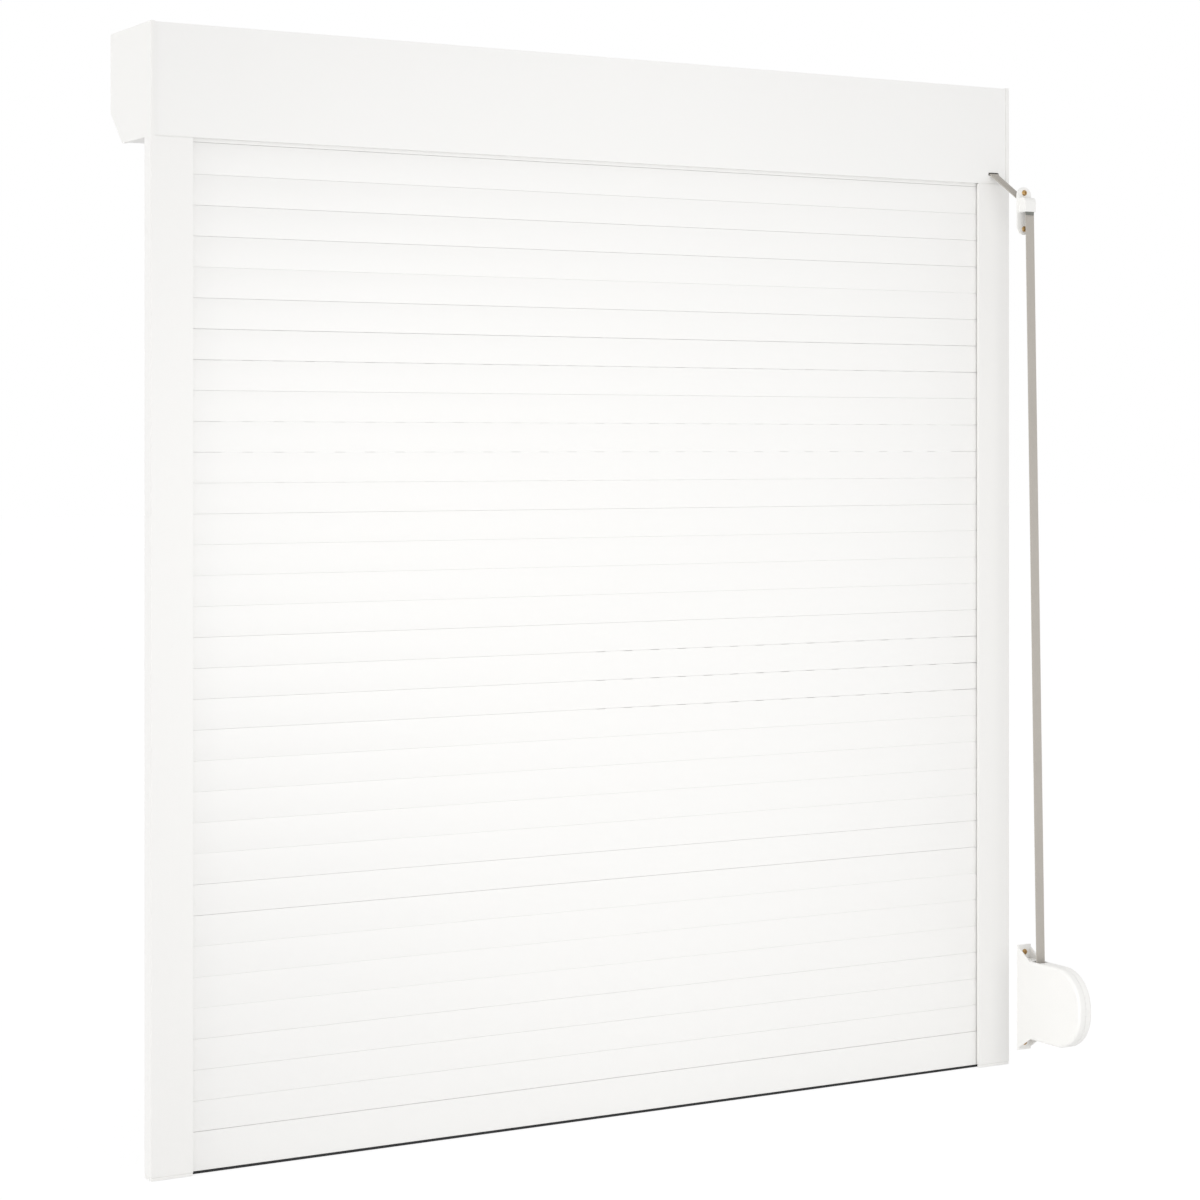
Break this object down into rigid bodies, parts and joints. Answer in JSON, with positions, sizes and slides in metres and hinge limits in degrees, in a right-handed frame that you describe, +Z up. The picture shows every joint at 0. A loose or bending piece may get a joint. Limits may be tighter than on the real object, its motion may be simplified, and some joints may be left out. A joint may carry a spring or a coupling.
{
  "type": "exterior roller shutter",
  "caption": "White exterior roller shutter: slatted curtain in two guide rails under a chamfered box, raised by a webbing strap that runs over a guide to a spring winder.",
  "frame": {"origin": "on the sill at mid width, in the middle plane of the curtain, on the flat underside of the bottom seal", "axes": "+X to the right as seen from the window side, +Y outwards from the window, +Z up"},
  "size_m": [1.28, 0.336, 1.376],
  "materials": {
    "white_aluminium": "satin",
    "white_slat": "satin",
    "white_moulding": "satin",
    "strap_webbing": "matte",
    "steel": "satin",
    "dark_moulding": "satin",
    "light_moulding": "satin",
    "brass": "polished",
    "black_rubber": "matte",
    "grey_rubber": "matte"
  },
  "bodies": {
    "housing": {"rear_casing": "white_aluminium", "front_casing": "white_aluminium", "left_end_plate": "white_moulding", "right_end_plate": "white_moulding", "left_guide_rail": "white_aluminium", "right_guide_rail": "white_aluminium", "rail_end_caps": "white_moulding", "rail_seals": "grey_rubber", "shaft_bearings": "dark_moulding", "strap_run": "strap_webbing", "guide_body": "white_moulding", "mounting_screws": "brass", "winder_bracket": "white_moulding", "winder_case_left": "white_moulding", "winder_case_right": "white_moulding"},
    "bottom_rail": {"bottom_bar": "white_aluminium", "bottom_seal": "black_rubber"},
    "winding_shaft": {"octagonal_shaft": "steel", "idler_plug": "dark_moulding", "strap_pulley": "dark_moulding", "curtain_hangers": "steel", "pulley_strap_coil": "strap_webbing"},
    "guide_roller_body": {"guide_roller": "light_moulding"},
    "winder_reel": {"winder_spool": "light_moulding", "winder_spring": "steel", "winder_strap_coil": "strap_webbing"},
    "brake_lever": {"strap_brake": "dark_moulding"},
    "slat_01_body": {"slat_01": "white_slat"},
    "slat_02_body": {"slat_02": "white_slat"},
    "slat_03_body": {"slat_03": "white_slat"},
    "slat_04_body": {"slat_04": "white_slat"},
    "slat_05_body": {"slat_05": "white_slat"},
    "slat_06_body": {"slat_06": "white_slat"},
    "slat_07_body": {"slat_07": "white_slat"},
    "slat_08_body": {"slat_08": "white_slat"},
    "slat_09_body": {"slat_09": "white_slat"},
    "slat_10_body": {"slat_10": "white_slat"},
    "slat_11_body": {"slat_11": "white_slat"},
    "slat_12_body": {"slat_12": "white_slat"},
    "slat_13_body": {"slat_13": "white_slat"},
    "slat_14_body": {"slat_14": "white_slat"},
    "slat_15_body": {"slat_15": "white_slat"},
    "slat_16_body": {"slat_16": "white_slat"},
    "slat_17_body": {"slat_17": "white_slat"},
    "slat_18_body": {"slat_18": "white_slat"},
    "slat_19_body": {"slat_19": "white_slat"},
    "slat_20_body": {"slat_20": "white_slat"},
    "slat_21_body": {"slat_21": "white_slat"},
    "slat_22_body": {"slat_22": "white_slat"},
    "slat_23_body": {"slat_23": "white_slat"},
    "slat_24_body": {"slat_24": "white_slat"},
    "slat_25_body": {"slat_25": "white_slat"},
    "slat_26_body": {"slat_26": "white_slat"},
    "slat_27_body": {"slat_27": "white_slat"},
    "slat_28_body": {"slat_28": "white_slat"},
    "slat_29_body": {"slat_29": "white_slat"},
    "slat_30_body": {"slat_30": "white_slat"},
    "slat_31_body": {"slat_31": "white_slat"},
    "slat_32_body": {"slat_32": "white_slat"},
    "slat_33_body": {"slat_33": "white_slat"}
  },
  "joints": [
    {"name": "curtain_lift", "type": "slide", "parent": "housing", "child": "bottom_rail", "axis": [0, 0, 1], "range_m": [0, 1.2], "deforming": ["slat_01", "slat_02", "slat_03", "slat_04", "slat_05", "slat_06", "slat_07", "slat_08", "slat_09", "slat_10", "slat_11", "slat_12", "slat_13", "slat_14", "slat_15", "slat_16", "slat_17", "slat_18", "slat_19", "slat_20", "slat_21", "slat_22", "slat_23", "slat_24", "slat_25", "slat_26", "slat_27", "slat_28", "slat_29", "slat_30", "slat_31", "slat_32", "slat_33", "curtain_hangers", "pulley_strap_coil", "winder_strap_coil", "winder_spring"]},
    {"name": "slat_01_lift", "type": "slide", "parent": "housing", "child": "slat_01_body", "axis": [0, 0, 1], "range_m": [0, 1.201]},
    {"name": "slat_02_lift", "type": "slide", "parent": "housing", "child": "slat_02_body", "axis": [0, 0, 1], "range_m": [0, 1.1664]},
    {"name": "slat_03_lift", "type": "slide", "parent": "housing", "child": "slat_03_body", "axis": [0, 0, 1], "range_m": [0, 1.1318]},
    {"name": "slat_04_lift", "type": "slide", "parent": "housing", "child": "slat_04_body", "axis": [0, 0, 1], "range_m": [0, 1.0972]},
    {"name": "slat_05_lift", "type": "slide", "parent": "housing", "child": "slat_05_body", "axis": [0, 0, 1], "range_m": [0, 1.0626]},
    {"name": "slat_06_lift", "type": "slide", "parent": "housing", "child": "slat_06_body", "axis": [0, 0, 1], "range_m": [0, 1.028]},
    {"name": "slat_07_lift", "type": "slide", "parent": "housing", "child": "slat_07_body", "axis": [0, 0, 1], "range_m": [0, 0.9934]},
    {"name": "slat_08_lift", "type": "slide", "parent": "housing", "child": "slat_08_body", "axis": [0, 0, 1], "range_m": [0, 0.9588]},
    {"name": "slat_09_lift", "type": "slide", "parent": "housing", "child": "slat_09_body", "axis": [0, 0, 1], "range_m": [0, 0.9242]},
    {"name": "slat_10_lift", "type": "slide", "parent": "housing", "child": "slat_10_body", "axis": [0, 0, 1], "range_m": [0, 0.8896]},
    {"name": "slat_11_lift", "type": "slide", "parent": "housing", "child": "slat_11_body", "axis": [0, 0, 1], "range_m": [0, 0.855]},
    {"name": "slat_12_lift", "type": "slide", "parent": "housing", "child": "slat_12_body", "axis": [0, 0, 1], "range_m": [0, 0.8204]},
    {"name": "slat_13_lift", "type": "slide", "parent": "housing", "child": "slat_13_body", "axis": [0, 0, 1], "range_m": [0, 0.7858]},
    {"name": "slat_14_lift", "type": "slide", "parent": "housing", "child": "slat_14_body", "axis": [0, 0, 1], "range_m": [0, 0.7512]},
    {"name": "slat_15_lift", "type": "slide", "parent": "housing", "child": "slat_15_body", "axis": [0, 0, 1], "range_m": [0, 0.7166]},
    {"name": "slat_16_lift", "type": "slide", "parent": "housing", "child": "slat_16_body", "axis": [0, 0, 1], "range_m": [0, 0.682]},
    {"name": "slat_17_lift", "type": "slide", "parent": "housing", "child": "slat_17_body", "axis": [0, 0, 1], "range_m": [0, 0.6474]},
    {"name": "slat_18_lift", "type": "slide", "parent": "housing", "child": "slat_18_body", "axis": [0, 0, 1], "range_m": [0, 0.6128]},
    {"name": "slat_19_lift", "type": "slide", "parent": "housing", "child": "slat_19_body", "axis": [0, 0, 1], "range_m": [0, 0.5782]},
    {"name": "slat_20_lift", "type": "slide", "parent": "housing", "child": "slat_20_body", "axis": [0, 0, 1], "range_m": [0, 0.5436]},
    {"name": "slat_21_lift", "type": "slide", "parent": "housing", "child": "slat_21_body", "axis": [0, 0, 1], "range_m": [0, 0.509]},
    {"name": "slat_22_lift", "type": "slide", "parent": "housing", "child": "slat_22_body", "axis": [0, 0, 1], "range_m": [0, 0.4744]},
    {"name": "slat_23_lift", "type": "slide", "parent": "housing", "child": "slat_23_body", "axis": [0, 0, 1], "range_m": [0, 0.4398]},
    {"name": "slat_24_lift", "type": "slide", "parent": "housing", "child": "slat_24_body", "axis": [0, 0, 1], "range_m": [0, 0.4052]},
    {"name": "slat_25_lift", "type": "slide", "parent": "housing", "child": "slat_25_body", "axis": [0, 0, 1], "range_m": [0, 0.3706]},
    {"name": "slat_26_lift", "type": "slide", "parent": "housing", "child": "slat_26_body", "axis": [0, 0, 1], "range_m": [0, 0.336]},
    {"name": "slat_27_lift", "type": "slide", "parent": "housing", "child": "slat_27_body", "axis": [0, 0, 1], "range_m": [0, 0.3014]},
    {"name": "slat_28_lift", "type": "slide", "parent": "housing", "child": "slat_28_body", "axis": [0, 0, 1], "range_m": [0, 0.2668]},
    {"name": "slat_29_lift", "type": "slide", "parent": "housing", "child": "slat_29_body", "axis": [0, 0, 1], "range_m": [0, 0.2322]},
    {"name": "slat_30_lift", "type": "slide", "parent": "housing", "child": "slat_30_body", "axis": [0, 0, 1], "range_m": [0, 0.1976]},
    {"name": "slat_31_lift", "type": "slide", "parent": "housing", "child": "slat_31_body", "axis": [0, 0, 1], "range_m": [0, 0.163]},
    {"name": "slat_32_lift", "type": "slide", "parent": "housing", "child": "slat_32_body", "axis": [0, 0, 1], "range_m": [0, 0.1284]},
    {"name": "slat_33_lift", "type": "slide", "parent": "housing", "child": "slat_33_body", "axis": [0, 0, 1], "range_m": [0, 0.0938]},
    {"name": "shaft_turn", "type": "hinge", "parent": "housing", "child": "winding_shaft", "pos_m": [0, 0.0575, 1.3115], "axis": [-1, 0, 0], "range_deg": [0, 1622]},
    {"name": "guide_roller_turn", "type": "hinge", "parent": "housing", "child": "guide_roller_body", "pos_m": [0.6135, -0.0841, 1.199], "axis": [1, 0, 0], "range_deg": [0, 10611]},
    {"name": "spool_turn", "type": "hinge", "parent": "housing", "child": "winder_reel", "pos_m": [0.6135, -0.156, 0.1085], "axis": [-1, 0, 0], "range_deg": [0, 1413]},
    {"name": "brake_release", "type": "hinge", "parent": "housing", "child": "brake_lever", "pos_m": [0.6135, -0.099, 0.1285], "axis": [-1, 0, 0], "range_deg": [0, 25], "stiffness_Nm_per_rad": 0.02}
  ],
  "couplings": [
    {"joint": "slat_01_lift", "follows": "curtain_lift", "ratio": 1},
    {"joint": "slat_02_lift", "follows": "curtain_lift", "ratio": 0.97117},
    {"joint": "slat_03_lift", "follows": "curtain_lift", "ratio": 0.94233},
    {"joint": "slat_04_lift", "follows": "curtain_lift", "ratio": 0.9135},
    {"joint": "slat_05_lift", "follows": "curtain_lift", "ratio": 0.88467},
    {"joint": "slat_06_lift", "follows": "curtain_lift", "ratio": 0.85583},
    {"joint": "slat_07_lift", "follows": "curtain_lift", "ratio": 0.827},
    {"joint": "slat_08_lift", "follows": "curtain_lift", "ratio": 0.79817},
    {"joint": "slat_09_lift", "follows": "curtain_lift", "ratio": 0.76933},
    {"joint": "slat_10_lift", "follows": "curtain_lift", "ratio": 0.7405},
    {"joint": "slat_11_lift", "follows": "curtain_lift", "ratio": 0.71167},
    {"joint": "slat_12_lift", "follows": "curtain_lift", "ratio": 0.68283},
    {"joint": "slat_13_lift", "follows": "curtain_lift", "ratio": 0.654},
    {"joint": "slat_14_lift", "follows": "curtain_lift", "ratio": 0.62517},
    {"joint": "slat_15_lift", "follows": "curtain_lift", "ratio": 0.59633},
    {"joint": "slat_16_lift", "follows": "curtain_lift", "ratio": 0.5675},
    {"joint": "slat_17_lift", "follows": "curtain_lift", "ratio": 0.53867},
    {"joint": "slat_18_lift", "follows": "curtain_lift", "ratio": 0.50983},
    {"joint": "slat_19_lift", "follows": "curtain_lift", "ratio": 0.481},
    {"joint": "slat_20_lift", "follows": "curtain_lift", "ratio": 0.45217},
    {"joint": "slat_21_lift", "follows": "curtain_lift", "ratio": 0.42333},
    {"joint": "slat_22_lift", "follows": "curtain_lift", "ratio": 0.3945},
    {"joint": "slat_23_lift", "follows": "curtain_lift", "ratio": 0.36567},
    {"joint": "slat_24_lift", "follows": "curtain_lift", "ratio": 0.33683},
    {"joint": "slat_25_lift", "follows": "curtain_lift", "ratio": 0.308},
    {"joint": "slat_26_lift", "follows": "curtain_lift", "ratio": 0.27917},
    {"joint": "slat_27_lift", "follows": "curtain_lift", "ratio": 0.25033},
    {"joint": "slat_28_lift", "follows": "curtain_lift", "ratio": 0.2215},
    {"joint": "slat_29_lift", "follows": "curtain_lift", "ratio": 0.19267},
    {"joint": "slat_30_lift", "follows": "curtain_lift", "ratio": 0.16383},
    {"joint": "slat_31_lift", "follows": "curtain_lift", "ratio": 0.135},
    {"joint": "slat_32_lift", "follows": "curtain_lift", "ratio": 0.10617},
    {"joint": "slat_33_lift", "follows": "curtain_lift", "ratio": 0.077334},
    {"joint": "shaft_turn", "follows": "curtain_lift", "rad_per_m": 23.562},
    {"joint": "guide_roller_turn", "follows": "curtain_lift", "rad_per_m": 154.3},
    {"joint": "spool_turn", "follows": "curtain_lift", "rad_per_m": 20.513}
  ]
}
